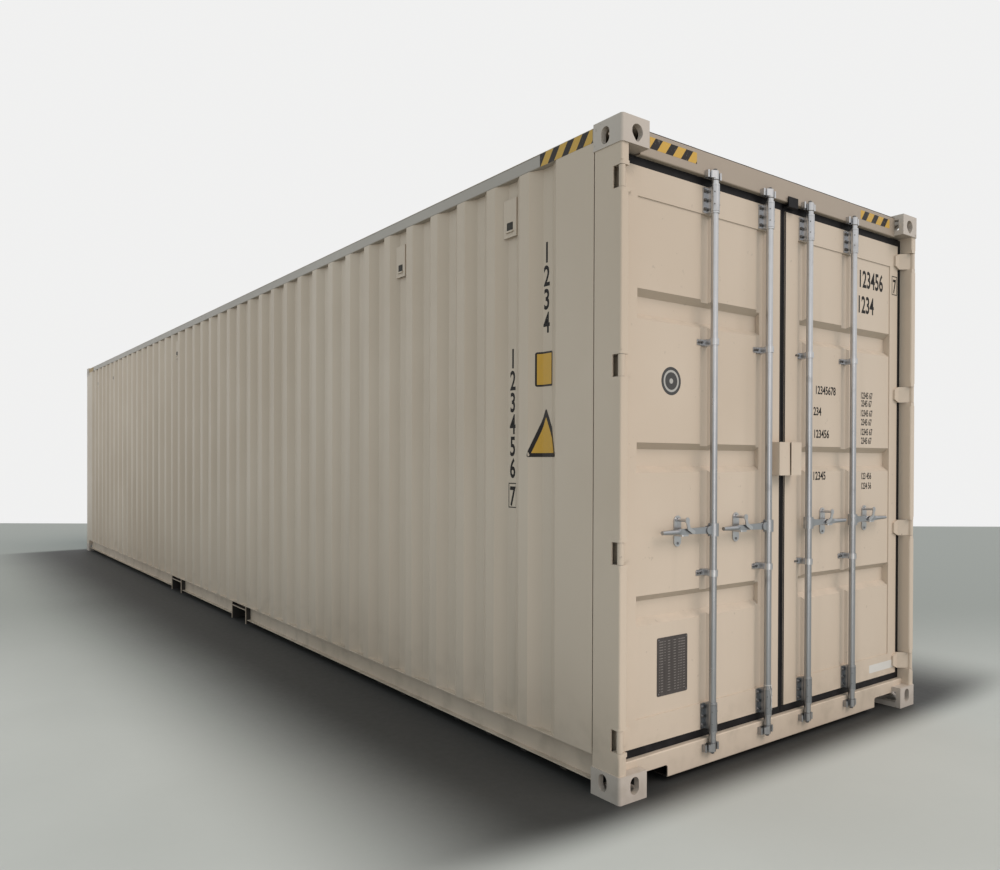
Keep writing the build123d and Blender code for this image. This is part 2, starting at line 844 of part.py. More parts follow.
def pieces():
    for door_end, place in ((True, "door"), (False, "front")):
        yield f"castings_top_{place}", castings(door_end, True)
        yield f"castings_bottom_{place}", castings(door_end, False)
    for side, name in side_names.items():
        yield f"door_post_{name}", [door_post(side)]
        yield f"front_post_{name}", [front_post(side)]
        yield f"top_rail_{name}", [top_rail(side)]
        yield f"bottom_rail_{name}", [bottom_rail(side)]
        yield f"side_wall_{name}", [side_wall(side)]
        yield f"door_frame_{name}", [leaf_frame(side)]
        yield f"door_panel_{name}", [leaf_panel(side)]
        yield f"door_gasket_{name}", [leaf_gasket(side)]
        yield f"hinge_blades_{name}", hinge_blades(side)
        yield f"bar_bearings_{name}", leaf_bearings(side)
        yield f"catch_bases_{name}", leaf_catch_bases(side)
    yield "door_header", [door_header()]
    yield "door_sill", [door_sill()]
    yield "front_top_rail", [front_top_rail()]
    yield "front_bottom_rail", [front_bottom_rail()]
    yield "front_wall", [front_wall()]
    yield "roof", [roof()]
    yield "ventilators", ventilators()
    yield "floor_boards", floor_boards()
    yield "floor_rail", [floor_rail()]
    yield "cross_members", cross_members()
    yield "fork_pockets", fork_pockets()
    yield "gooseneck_tunnel", [gooseneck_tunnel()]
    yield "hinge_lugs", hinge_lugs()
    yield "hinge_pins", hinge_pins()
    yield "cam_keepers", cam_keepers()
    yield "lock_box_left", [hood(left_hood_y, left_hood_x, -1)]
    yield "lock_box_right", [hood(right_hood_y, right_hood_x, 1)]
    for number, y in enumerate(bar_y, 1):
        way = -1 if y < 0 else 1
        yield f"lock_bar_{number}", [lock_bar(y, way)]
        yield f"handle_{number}", [handle(y, way)]
        yield f"catch_{number}", [catch(y, way)]


os.makedirs("parts", exist_ok=True)
for name, solids in pieces():
    export_step(Compound(children=[s for shape in solids for s in shape.solids()]), f"parts/{name}.step")
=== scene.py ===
from math import cos, pi, radians, sin

import bmesh
import bpy
from mathutils import Matrix, Vector


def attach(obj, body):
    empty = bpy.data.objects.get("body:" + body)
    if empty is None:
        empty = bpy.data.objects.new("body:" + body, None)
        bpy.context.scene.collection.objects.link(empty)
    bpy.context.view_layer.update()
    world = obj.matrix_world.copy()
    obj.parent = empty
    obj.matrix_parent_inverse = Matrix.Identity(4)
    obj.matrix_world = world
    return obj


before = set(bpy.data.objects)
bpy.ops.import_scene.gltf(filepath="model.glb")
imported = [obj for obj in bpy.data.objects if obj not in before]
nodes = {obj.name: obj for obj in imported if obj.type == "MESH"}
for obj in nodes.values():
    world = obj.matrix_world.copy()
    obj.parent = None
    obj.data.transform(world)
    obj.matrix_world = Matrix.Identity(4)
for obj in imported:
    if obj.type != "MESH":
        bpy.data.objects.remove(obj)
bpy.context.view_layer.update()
scene = bpy.context.scene
scene.view_settings.view_transform = "Standard"
print("frame:", len(nodes), "nodes")

# Ways to turn a flat piece so that it lies on a face of the container
ontoDoor = Matrix(((0, 0, 1), (1, 0, 0), (0, 1, 0))).to_4x4()
ontoLeft = Matrix(((1, 0, 0), (0, 0, -1), (0, 1, 0))).to_4x4()
ontoRight = Matrix(((-1, 0, 0), (0, 0, 1), (0, 1, 0))).to_4x4()
sides = ((-1, "left", ontoLeft), (1, "right", ontoRight))


# An expression on a wire adds its Math nodes to the finish that the wire belongs to
class Wire:
    def __init__(self, finish, socket):
        self.finish = finish
        self.socket = socket

    def calc(self, operation, *values):
        return self.finish.add("ShaderNodeMath", {"operation": operation}, dict(enumerate(values)))

    def __add__(self, other):
        return self.calc("ADD", self, other)

    def __sub__(self, other):
        return self.calc("SUBTRACT", self, other)

    def __rsub__(self, other):
        return self.calc("SUBTRACT", other, self)

    def __mul__(self, other):
        return self.calc("MULTIPLY", self, other)

    def __truediv__(self, other):
        return self.calc("DIVIDE", self, other)

    def __mod__(self, other):
        return self.calc("FLOORED_MODULO", self, other)

    def __lt__(self, other):
        return self.calc("LESS_THAN", self, other)

    def __gt__(self, other):
        return self.calc("GREATER_THAN", self, other)

    def __abs__(self):
        return self.calc("ABSOLUTE", self)

    def least(self, other):
        return self.calc("MINIMUM", self, other)

    def most(self, other):
        return self.calc("MAXIMUM", self, other)

    def root(self):
        return self.calc("SQRT", self)

    def ramp(self, start, end):
        return self.finish.add(
            "ShaderNodeMapRange",
            {"interpolation_type": "SMOOTHSTEP"},
            {"Value": self, "From Min": start, "From Max": end},
        )

    __radd__ = __add__
    __rmul__ = __mul__


class Finish:
    def __init__(self, name, **sockets):
        self.material = bpy.data.materials.new(name)
        self.material.use_nodes = True
        self.tree = self.material.node_tree
        self.shader = self.tree.nodes["Principled BSDF"]
        for socket, value in sockets.items():
            self.shader.inputs[socket.replace("_", " ")].default_value = value
        self.place = self.add("ShaderNodeTexCoord", output="Object")
        self.x, self.y, self.z = (
            self.add("ShaderNodeSeparateXYZ", inputs={0: self.place}, output=axis) for axis in range(3)
        )

    def add(self, kind, settings=None, inputs=None, output=0):
        node = self.tree.nodes.new(kind)
        for key, value in (settings or {}).items():
            setattr(node, key, value)
        for key, value in (inputs or {}).items():
            self.feed(node.inputs[key], value)
        return Wire(self, node.outputs[output])

    def feed(self, socket, value):
        if isinstance(value, Wire):
            self.tree.links.new(value.socket, socket)
        else:
            socket.default_value = value

    def stretched(self, amounts):
        return self.add("ShaderNodeVectorMath", {"operation": "MULTIPLY"}, {0: self.place, 1: amounts})

    def noise(self, scale, detail=3.0, amounts=None):
        place = self.stretched(amounts) if amounts else self.place
        return self.add("ShaderNodeTexNoise", None, {"Vector": place, "Scale": scale, "Detail": detail})

    def cells(self, scale):
        return self.add("ShaderNodeTexVoronoi", None, {"Vector": self.place, "Scale": scale}, "Color")

    def blend(self, factor, first, second):
        first, second = ((*c, 1.0) if isinstance(c, tuple) else c for c in (first, second))
        return self.add("ShaderNodeMix", {"data_type": "RGBA"}, {0: factor, 6: first, 7: second}, 2)

    def facing(self, axis):
        normal = self.add("ShaderNodeNewGeometry", output="Normal")
        return self.add("ShaderNodeSeparateXYZ", inputs={0: normal}, output=axis)

    def finishWith(self, colour=None, roughness=None, metallic=None, height=None):
        for socket, value in (("Base Color", colour), ("Roughness", roughness), ("Metallic", metallic)):
            if value is not None:
                self.feed(self.shader.inputs[socket], value)
        if height is not None:
            bump = self.add("ShaderNodeBump", None, {"Height": height, "Strength": 1.0, "Distance": 1.0})
            self.feed(self.shader.inputs["Normal"], bump)
        return self.material


# The wax under the floor; its dark colour is also painted shade inside the door sill's hollow beam
waxAndShadeLook = {"dark": (0.026, 0.022, 0.019), "dusty": (0.085, 0.074, 0.060)}

# The container's paint: beige enamel with a little dust, faint runs, painted shade on faces that look down and an
# orange-peel skin
paintLook = {
    "beige": (0.560, 0.462, 0.368),
    "paler": (0.618, 0.520, 0.425),
    "dust": (0.470, 0.410, 0.335),
    "grimeAndShade": (0.270, 0.225, 0.170),
    "steel": (0.230, 0.185, 0.150),
    "blotch": 0.55,         # patches per metre
    "dustShare": 0.7,       # on level faces
    "runShare": 0.16,
    "splashShare": 0.30,    # low on the walls
    "underShare": 0.7,      # painted shade on faces that look down
    "peel": 320.0,
    "peelHeight": 0.000022,
    "waves": 2.6,
    "waveHeight": 0.0011,
    "gloss": 0.36,
}


def enamel(name, look, splash=0.5, scuffs=0.0, waves=1.0, shadedBox=None):
    paint = Finish(name, IOR=1.48)
    blotch = paint.noise(look["blotch"], 4.0)
    mottle = paint.noise(9.0, 5.0)
    runs = paint.noise(5.0, 4.0, (1.0, 1.0, 0.07))
    colour = paint.blend(blotch.ramp(0.36, 0.66), look["beige"], look["paler"])
    level = paint.facing(2).ramp(0.35, 0.95)
    dusty = level * mottle.ramp(0.30, 0.72) * look["dustShare"]
    colour = paint.blend(dusty, colour, look["dust"])
    low = 1 - paint.z.ramp(0.05, splash)
    dirt = runs.ramp(0.50, 0.80) * look["runShare"] + low * mottle.ramp(0.42, 0.75) * look["splashShare"]
    # Painted shade: faces that look down are darkened towards the grime colour
    under = (0 - paint.facing(2)).ramp(0.5, 0.95) * look["underShare"]
    colour = paint.blend(dirt.most(under), colour, look["grimeAndShade"])
    if scuffs:
        worn = paint.noise(38.0, 6.0).ramp(0.665, 0.70) * paint.noise(7.0, 2.0).ramp(0.50, 0.62) * scuffs
        colour = paint.blend(worn, colour, look["steel"])
    # Painted shade: inside the given box, the hollow of the door sill, the paint takes the dark colour of the wax
    if shadedBox:
        back, front, foot, top = shadedBox
        shadedInside = (paint.x > back) * (paint.x < front) * (paint.z > foot) * (paint.z < top)
        colour = paint.blend(shadedInside, colour, waxAndShadeLook["dark"])
    rough = look["gloss"] + 0.16 * mottle + 0.25 * dusty
    height = paint.noise(look["peel"], 2.0) * look["peelHeight"]
    height = height + paint.noise(look["waves"], 1.0) * (look["waveHeight"] * waves)
    return paint.finishWith(colour, rough, height=height)


# Zinc on the locking gear, with its spangle and a dull bloom
zincLook = {
    "bright": (0.600, 0.605, 0.615),
    "dull": (0.400, 0.405, 0.420),
    "stain": (0.200, 0.190, 0.180),
    "shade": (0.235, 0.250, 0.270),
    "spangle": 70.0,
    "spangleShare": 0.06,
    "stainShare": 0.35,
    "relief": 0.00003,
}


# The gear is darker near the ground: shaded holds the height below which the shade is full, where it ends, its share
def galvanised(name, look, dullness=0.5, shaded=(1.3, 2.3, 0.55)):
    zinc = Finish(name)
    spangle = zinc.add("ShaderNodeSeparateColor", inputs={0: zinc.cells(look["spangle"])})
    bloom = zinc.noise(16.0, 5.0)
    colour = zinc.blend(spangle * look["spangleShare"] + bloom * dullness, look["bright"], look["dull"])
    stain = zinc.noise(11.0, 6.0).ramp(0.60, 0.74) * look["stainShare"]
    colour = zinc.blend(stain, colour, look["stain"])
    low, high, share = shaded
    colour = zinc.blend((1 - zinc.z.ramp(low, high)) * share, colour, look["shade"])
    rough = 0.24 + 0.10 * bloom + 0.01 * spangle
    return zinc.finishWith(colour, rough, 0.95 - 0.35 * stain, bloom * look["relief"])


# Black rubber of the door seals; the same dark finish is painted shade at the ventilators and on the header's top
# edge
sealLook = {"black": (0.0045, 0.004, 0.005), "bloom": (0.013, 0.012, 0.014)}


def darkFinish(name, look):
    blackSkin = Finish(name, Specular_IOR_Level=0.22)
    bloom = blackSkin.noise(22.0, 5.0)
    ribs = blackSkin.noise(400.0, 2.0, (1.0, 1.0, 0.1))
    colour = blackSkin.blend(bloom.ramp(0.40, 0.75), look["black"], look["bloom"])
    return blackSkin.finishWith(colour, 0.50 + 0.22 * bloom, height=ribs * 0.00006)


# Varnished plywood of the floor: sheets laid along the length, with screws along the joints
plyLook = {
    "light": (0.260, 0.125, 0.062),
    "dark": (0.105, 0.045, 0.022),
    "joint": (0.018, 0.011, 0.007),
    "sheetLength": 2.42,
    "jointAcross": 0.62,      # the long joints' place beside the middle
    "screwPitch": 0.302,
    "screwRow": 0.21,
    "screwRadius": 0.006,
}


def plywood(name, look):
    ply = Finish(name, Coat_Roughness=0.3)
    grain = ply.noise(7.0, 8.0, (1.0, 13.0, 13.0))
    figure = ply.noise(2.2, 3.0, (0.6, 3.0, 1.0))
    colour = ply.blend(grain.ramp(0.32, 0.70) * 0.7 + figure * 0.3, look["dark"], look["light"])
    along = abs(ply.x % look["sheetLength"] - look["sheetLength"] / 2)
    across = abs(abs(ply.y) - look["jointAcross"])
    joint = (along < 0.0022).most(across < 0.0018)
    screwX = ply.x % look["screwPitch"] - look["screwPitch"] / 2
    screwY = abs(ply.y) % look["screwRow"] - look["screwRow"] / 2
    screw = (screwX * screwX + screwY * screwY) < look["screwRadius"] ** 2
    marks = joint.most(screw * 0.8)
    colour = ply.blend(marks, colour, look["joint"])
    worn = ply.noise(3.5, 6.0).ramp(0.45, 0.7)
    height = grain * 0.0003 - marks * 0.0012
    return ply.finishWith(colour, 0.42 + 0.25 * worn, height=height)


# Thick dark wax under the floor
def underwax(name, look):
    wax = Finish(name)
    lumps = wax.noise(34.0, 5.0)
    colour = wax.blend(wax.noise(4.0, 5.0).ramp(0.45, 0.75), look["dark"], look["dusty"])
    return wax.finishWith(colour, 0.45 + 0.3 * lumps, height=lumps * 0.0012)


# Pocket cheeks are beige near the rails and dark further in, with dark lumps
pocketLook = {**paintLook, "darkEdge": (1.205, 1.2145)}


def pocketPaint(name, look):
    paint = Finish(name)
    lumps = paint.noise(30.0, 5.0)
    inner = 1 - abs(paint.y).ramp(*look["darkEdge"])
    colour = paint.blend(paint.noise(9.0, 5.0).ramp(0.45, 0.8) * 0.4, look["beige"], look["grimeAndShade"])
    colour = paint.blend(inner.most(lumps.ramp(0.72, 0.80)), colour, waxAndShadeLook["dark"])
    return paint.finishWith(colour, 0.42 + 0.3 * lumps, height=lumps * 0.0006)


# Plain white plastic of the label and the cable tie
whiteLook = {"clean": (0.72, 0.71, 0.69), "yellowed": (0.62, 0.60, 0.57)}


def whiteFilm(name, look):
    film = Finish(name)
    worn = film.noise(9.0, 4.0)
    colour = film.blend(worn, look["clean"], look["yellowed"])
    return film.finishWith(colour, 0.30 + 0.2 * worn, height=worn * 0.00003)


# Some pieces are paler or darker than the walls
castingLook = {**paintLook, "beige": (0.500, 0.440, 0.390), "paler": (0.550, 0.490, 0.440)}
# The header's darker beige is painted shade
headerShadeLook = {**paintLook, "beige": (0.350, 0.288, 0.230), "paler": (0.385, 0.318, 0.258)}
railLook = {**paintLook, "beige": (0.385, 0.350, 0.315), "paler": (0.425, 0.390, 0.350)}
beige = enamel("beigeEnamel", paintLook)
bracketZinc = galvanised("bracketZinc", zincLook, 0.7, (0.35, 1.0, 0.8))
sealRubber = darkFinish("sealRubber", sealLook)

# Each finish with the starts of the names of the nodes that have it: all others are beige
finishes = (
    (enamel("castingEnamel", castingLook, 0.3, 0.9, 1.6), "castings_"),
    (enamel("sillEnamel", paintLook, shadedBox=(5.9, 6.0375, 0.0, 0.1455)), "door_sill"),
    (enamel("headerShadeEnamel", headerShadeLook), "door_header"),
    (enamel("railEnamel", railLook, 0.3, 0.2), "top_rail_", "front_top_rail"),
    (enamel("roofEnamel", paintLook, 0.3, 0.0, 1.5), "roof"),
    (enamel("doorEnamel", paintLook, 0.42, 0.25, 0.8), "door_frame_", "door_panel_"),
    (enamel("hingeEnamel", paintLook, 0.3, 0.8, 0.5), "hinge_blades_", "hinge_lugs", "lock_box_"),
    (galvanised("gearZinc", zincLook), "lock_bar_", "handle_", "cam_keepers", "hinge_pins"),
    (bracketZinc, "bar_bearings_", "catch_"),
    (sealRubber, "door_gasket_"),
    (plywood("floorPly", plyLook), "floor_boards"),
    (underwax("underWax", waxAndShadeLook), "cross_members", "gooseneck_tunnel"),
    (pocketPaint("pocketPaint", pocketLook), "fork_pockets"),
)
for name, node in nodes.items():
    chosen = [finish for finish, *starts in finishes if name.startswith(tuple(starts))]
    for slot in node.material_slots:
        slot.material = chosen[0] if chosen else beige
print("finishes on", len(nodes), "nodes")


# Hand tools
def pick(*pieces):
    bpy.ops.object.select_all(action="DESELECT")
    for piece in pieces:
        piece.select_set(True)
    bpy.context.view_layer.objects.active = pieces[-1]


def started(name):
    piece = bpy.context.object
    piece.name = piece.data.name = name
    bpy.ops.object.transform_apply(location=True, rotation=True, scale=True)
    return piece


def editPart(piece, test, kind="FACE"):
    pick(piece)
    bpy.ops.object.mode_set(mode="EDIT")
    bpy.ops.mesh.select_mode(type=kind)
    bpy.ops.mesh.select_all(action="DESELECT")
    mesh = bmesh.from_edit_mesh(piece.data)
    for part in {"FACE": mesh.faces, "EDGE": mesh.edges, "VERT": mesh.verts}[kind]:
        if test(part):
            part.select_set(True)
    if kind == "VERT":
        mesh.select_flush(True)
    bmesh.update_edit_mesh(piece.data)


def leaveEdit():
    bpy.ops.mesh.select_all(action="DESELECT")
    bpy.ops.object.mode_set(mode="OBJECT")


def applied(piece, kind, **settings):
    pick(piece)
    modifier = piece.modifiers.new(kind.lower(), kind)
    for key, value in settings.items():
        setattr(modifier, key, value)
    bpy.ops.object.modifier_apply(modifier=modifier.name)


def joined(pieces, name):
    pick(*pieces)
    bpy.ops.object.join()
    piece = bpy.context.object
    piece.name = piece.data.name = name
    return piece


# Copies of one piece, each with its own mesh, set down at their places and made one
def spread(master, places, name):
    copies = []
    for place in places:
        twin = master.copy()
        twin.data = master.data.copy()
        twin.data.transform(place)
        scene.collection.objects.link(twin)
        copies.append(twin)
    return joined(copies, name)


def dress(piece, material, body):
    piece.data.materials.clear()
    piece.data.materials.append(material)
    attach(piece, body)


def discard(*pieces):
    for piece in pieces:
        bpy.data.objects.remove(piece)


# Bolts and rivets, made once with their heads along Z
boltLook = {"across": 0.0125, "head": 0.0070, "washer": 0.0084, "washerThick": 0.0016, "chamfer": 0.0012}


def makeBolt(look):
    bpy.ops.mesh.primitive_cylinder_add(
        vertices=6, radius=look["across"] / 2 / cos(pi / 6), depth=look["head"],
        location=(0, 0, look["washerThick"] + look["head"] / 2),
    )
    head = started("boltHead")
    editPart(head, lambda face: face.normal.z > 0.9)
    bpy.ops.mesh.bevel(offset=look["chamfer"], segments=2, affect="EDGES")
    leaveEdit()
    bpy.ops.mesh.primitive_cylinder_add(
        vertices=16, radius=look["washer"], depth=look["washerThick"], location=(0, 0, look["washerThick"] / 2)
    )
    washer = started("boltWasher")
    editPart(washer, lambda face: face.normal.z > 0.9)
    bpy.ops.mesh.bevel(offset=look["washerThick"] / 3, segments=1, affect="EDGES")
    leaveEdit()
    return joined([head, washer], "bolt")


rivetLook = {"radius": 0.0062, "height": 0.0032, "segments": 14, "rings": 8}


def makeRivet(look):
    bpy.ops.mesh.primitive_uv_sphere_add(segments=look["segments"], ring_count=look["rings"], radius=look["radius"])
    rivet = started("rivet")
    editPart(rivet, lambda vertex: True, "VERT")
    bpy.ops.mesh.bisect(plane_co=(0, 0, 0), plane_no=(0, 0, 1), use_fill=True, clear_inner=True)
    bpy.ops.mesh.select_all(action="SELECT")
    bpy.ops.transform.resize(value=(1, 1, look["height"] / look["radius"]))
    leaveEdit()
    return rivet


bolt = makeBolt(boltLook)
rivet = makeRivet(rivetLook)
steelLook = {**zincLook, "bright": (0.22, 0.21, 0.20), "dull": (0.10, 0.095, 0.09)}
boltSteel = galvanised("boltSteel", steelLook, 0.8)

# The gear's bolts: three down each side of a long bearing, two on each short bearing's tab, and small rivets on the
# long bearings' saddles and on the catches' bases
gearLook = {
    "bars": (-0.589, -0.171, 0.171, 0.589),
    "barX": 6.064,
    "footFace": 6.026,
    "boltSide": 0.0263,
    "longBolts": (0.208, 0.250, 0.292, 2.622, 2.664, 2.706),
    "saddleRadius": 0.0221,
    "saddleSink": 0.0003,
    "saddleAngles": (-0.9, 0.9),
    "saddleRivets": (0.222, 0.279, 2.636, 2.692),
    "saddleScale": 0.55,
    "shortBearings": (0.924, 2.000),
    "panelFace": 6.0151,
    "catchFace": 6.021,
    "catchReach": 0.196,
    "catchRivets": 0.056,
    "handleLevel": 1.126,
}

# A short bearing's tab lies on the panel, at the bar's left
tabLook = {
    "size": (0.003, 0.053, 0.027),
    "aside": -0.0395,
    "corner": 0.004,
    "bolts": (-0.035, -0.054),
    "boltScale": 0.85,
}


def bearingTab(y, z, look):
    thick = look["size"][0]
    bpy.ops.mesh.primitive_cube_add(size=1, location=(gearLook["panelFace"] + thick / 2, y + look["aside"], z))
    bpy.context.object.scale = look["size"]
    tab = started("bearingTab")
    editPart(tab, lambda edge: abs(edge.verts[0].co.x - edge.verts[1].co.x) > thick / 2, "EDGE")
    bpy.ops.mesh.bevel(offset=look["corner"], segments=2, affect="EDGES")
    leaveEdit()
    return tab


for side, leaf, turn in sides:
    bars = [y for y in gearLook["bars"] if y * side > 0]
    spots = [
        Matrix.Translation((gearLook["footFace"], y + way * gearLook["boltSide"], z)) @ ontoDoor
        for y in bars for way in (-1, 1) for z in gearLook["longBolts"]
    ]
    dress(spread(bolt, spots, f"bearingBolts_{leaf}"), boltSteel, f"door_{leaf}")
    spots = [
        Matrix.Translation((gearLook["barX"], y, z)) @ Matrix.Rotation(angle, 4, "Z")
        @ Matrix.Translation((gearLook["saddleRadius"] - gearLook["saddleSink"], 0, 0)) @ ontoDoor
        @ Matrix.Scale(gearLook["saddleScale"], 4)
        for y in bars for angle in gearLook["saddleAngles"] for z in gearLook["saddleRivets"]
    ]
    dress(spread(rivet, spots, f"saddleRivets_{leaf}"), boltSteel, f"door_{leaf}")
    tabs = [bearingTab(y, z, tabLook) for y in bars for z in gearLook["shortBearings"]]
    dress(joined(tabs, f"bearingTabs_{leaf}"), bracketZinc, f"door_{leaf}")
    spots = [
        Matrix.Translation((gearLook["panelFace"] + tabLook["size"][0], y + aside, z)) @ ontoDoor
        @ Matrix.Scale(tabLook["boltScale"], 4)
        for y in bars for aside in tabLook["bolts"] for z in gearLook["shortBearings"]
    ]
    dress(spread(bolt, spots, f"tabBolts_{leaf}"), boltSteel, f"door_{leaf}")
    spots = [
        Matrix.Translation((gearLook["catchFace"], y + side * gearLook["catchReach"], z)) @ ontoDoor
        for y in bars for z in (
            gearLook["handleLevel"] - gearLook["catchRivets"], gearLook["handleLevel"] + gearLook["catchRivets"]
        )
    ]
    dress(spread(rivet, spots, f"catchRivets_{leaf}"), boltSteel, f"door_{leaf}")

# Nuts on the ends of the bars, a dark ring beside each cam and under each upper bearing
ringLook = {
    "radius": 0.0184,
    "height": 0.005,
    "levels": (0.134, 2.750),
    "ends": (0.092, 2.792),
    "nutScale": 1.3,
    "under": 2.6025,
    "wider": 0.0012,        # the ring under a bearing
}


def darkRing(radius, height, place):
    bpy.ops.mesh.primitive_cylinder_add(vertices=28, radius=radius, depth=height)
    ring = started("darkRing")
    editPart(ring, lambda face: abs(face.normal.z) > 0.9)
    bpy.ops.mesh.bevel(offset=height / 5, segments=2, affect="EDGES")
    leaveEdit()
    ring.data.transform(Matrix.Translation(place))
    return ring


for i, y in enumerate(gearLook["bars"], 1):
    x, (foot, top) = gearLook["barX"], ringLook["ends"]
    larger = Matrix.Scale(ringLook["nutScale"], 4)
    turned = Matrix.Translation((x, y, foot)) @ Matrix.Rotation(pi, 4, "X") @ larger
    nuts = spread(bolt, [turned, Matrix.Translation((x, y, top)) @ larger], "barNuts")
    rings = [darkRing(ringLook["radius"], ringLook["height"], (x, y, z)) for z in ringLook["levels"]]
    dress(joined([nuts, *rings], f"barEnds_{i}"), boltSteel, f"lock_bar_{i}")
    collar = darkRing(ringLook["radius"] + ringLook["wider"], ringLook["height"], (x, y, ringLook["under"]))
    collar.name = collar.data.name = f"bearingRing_{i}"
    dress(collar, boltSteel, "door_left" if y < 0 else "door_right")

# A white tie round the foot of the second bar, with its two ends hanging over the bearing
tieLook = {
    "radius": 0.0012,
    "ring": (6.064, -0.171, 0.334, 0.0185),
    "ends": (
        ((6.0800, -0.1802, 0.334), (6.0868, -0.1760, 0.300), (6.0885, -0.1710, 0.262), (6.0880, -0.1680, 0.214)),
        ((6.0800, -0.1618, 0.334), (6.0868, -0.1660, 0.300), (6.0885, -0.1712, 0.258), (6.0878, -0.1745, 0.222)),
    ),
}


def strand(points, radius):
    curve = bpy.data.curves.new("tieStrand", "CURVE")
    curve.dimensions = "3D"
    curve.bevel_depth = radius
    curve.bevel_resolution = 2
    curve.use_fill_caps = True
    line = curve.splines.new("NURBS")
    line.points.add(len(points) - 1)
    for point, place in zip(line.points, points):
        point.co = (*place, 1)
    line.use_endpoint_u = True
    line.order_u = 3
    made = bpy.data.objects.new("tieStrand", curve)
    scene.collection.objects.link(made)
    pick(made)
    bpy.ops.object.convert(target="MESH")
    return bpy.context.object


def cableTie(look):
    x, y, z, radius = look["ring"]
    bpy.ops.mesh.primitive_torus_add(
        location=(x, y, z), major_radius=radius, minor_radius=look["radius"], major_segments=32, minor_segments=8
    )
    tie = joined([started("tieRing"), *(strand(points, look["radius"]) for points in look["ends"])], "cableTie")
    dress(tie, whiteFilm("tieNylon", whiteLook), "door_left")


cableTie(tieLook)

# Fins of the seals lap over the meeting stiles
finLook = {"y": 0.0205, "width": 0.007, "thick": 0.0014, "round": 0.0005, "face": 6.020, "z": (0.188, 2.730)}
for side, leaf, turn in sides:
    low, high = finLook["z"]
    bpy.ops.mesh.primitive_cube_add(
        size=1, location=(finLook["face"] + finLook["thick"] / 2, side * finLook["y"], (low + high) / 2)
    )
    bpy.context.object.scale = (finLook["thick"], finLook["width"], high - low)
    fin = started(f"sealFin_{leaf}")
    editPart(fin, lambda edge: abs(edge.verts[0].co.z - edge.verts[1].co.z) > 1, "EDGE")
    bpy.ops.mesh.bevel(offset=finLook["round"], segments=2, affect="EDGES")
    leaveEdit()
    dress(fin, sealRubber, f"door_{leaf}")
print("gear dressed")

# Stripes at the upper corners: black and yellow film on the rails and the header
stripeLook = {
    "yellow": (0.600, 0.365, 0.070),
    "black": (0.010, 0.007, 0.006),
    "pitch": 0.100,
    "blackShare": 0.47,
    "lean": 0.72,
}


def stripeFilm(name, look, along, level):
    film = Finish(name, Specular_IOR_Level=0.3)
    run = {"x": film.x, "y": film.y}[along] - (film.z - level) * look["lean"]
    worn = film.noise(60.0, 5.0)
    band = (run % look["pitch"]) < look["pitch"] * look["blackShare"]
    colour = film.blend(band, look["yellow"], look["black"])
    colour = film.blend(worn.ramp(0.58, 0.72) * 0.25, colour, paintLook["dust"])
    return film.finishWith(colour, 0.30 + 0.25 * worn, height=film.noise(300.0, 2.0) * 0.00002)


def roundCorners(sheet, corner):
    editPart(sheet, lambda vertex: True, "VERT")
    bpy.ops.mesh.bevel(offset=corner, segments=3, affect="VERTICES")
    leaveEdit()


# A thin film with rounded corners, to lie on a face
def filmPiece(name, width, height, place, corner=0.006, thick=0.0005):
    bpy.ops.mesh.primitive_plane_add(size=1)
    bpy.context.object.scale = (width, height, 1)
    film = started(name)
    roundCorners(film, corner)
    applied(film, "SOLIDIFY", thickness=thick, offset=1.0)
    film.data.transform(place)
    return film


def span(pair):
    return pair[1] - pair[0], sum(pair) / 2


railStripes = {"x": (5.543, 5.909), "z": (2.8225, 2.8815), "y": 1.2150, "foot": 2.822, "corner": 0.002}
headerStripes = {"x": 6.042, "y": (0.691, 1.000), "z": (2.810, 2.861), "corner": 0.001}
for side, name, turn in sides:
    length, along = span(railStripes["x"])
    height, level = span(railStripes["z"])
    for end, where in ((1, "door"), (-1, "front")):
        spot = Matrix.Translation((end * along, side * railStripes["y"], level)) @ turn
        film = filmPiece(f"railStripes_{name}_{where}", length, height, spot, railStripes["corner"])
        stripes = stripeFilm(f"railFilm_{name}_{where}", stripeLook, "x", railStripes["foot"])
        dress(film, stripes, "root")
for side, name, turn in sides:
    width, aside = span(headerStripes["y"])
    height, level = span(headerStripes["z"])
    spot = Matrix.Translation((headerStripes["x"], side * aside, level)) @ ontoDoor
    film = filmPiece(f"headerStripes_{name}", width, height, spot, headerStripes["corner"])
    stripes = stripeFilm(f"headerFilm_{name}", stripeLook, "y", headerStripes["z"][0])
    dress(film, stripes, "root")
print("stripes on")

# A dark bead along the upper edge of the header: painted shade of the header's top edge
shadeLineLook = {
    "x": 6.0375,
    "z": 2.8800,
    "reach": 1.056,
    "radius": 0.0042,
    "cuts": 60,
    "wander": (0.0005, 23, 7.3),
    "black": (0.030, 0.022, 0.018),
    "bloom": (0.070, 0.055, 0.045),
}


def shadeLine(look):
    bpy.ops.mesh.primitive_cylinder_add(
        vertices=10, radius=look["radius"], depth=2 * look["reach"], end_fill_type="NGON",
        location=(look["x"], 0, look["z"]), rotation=(pi / 2, 0, 0),
    )
    bead = started("headerShadeLine")
    editPart(bead, lambda edge: abs(edge.verts[0].co.y - edge.verts[1].co.y) > 1, "EDGE")
    bpy.ops.mesh.subdivide(number_cuts=look["cuts"])
    leaveEdit()
    rise, quick, slow = look["wander"]
    for vertex in bead.data.vertices:
        vertex.co.z += rise * sin(vertex.co.y * quick) * sin(vertex.co.y * slow)
    dress(bead, darkFinish("headerShadeFinish", look), "root")


shadeLine(shadeLineLook)

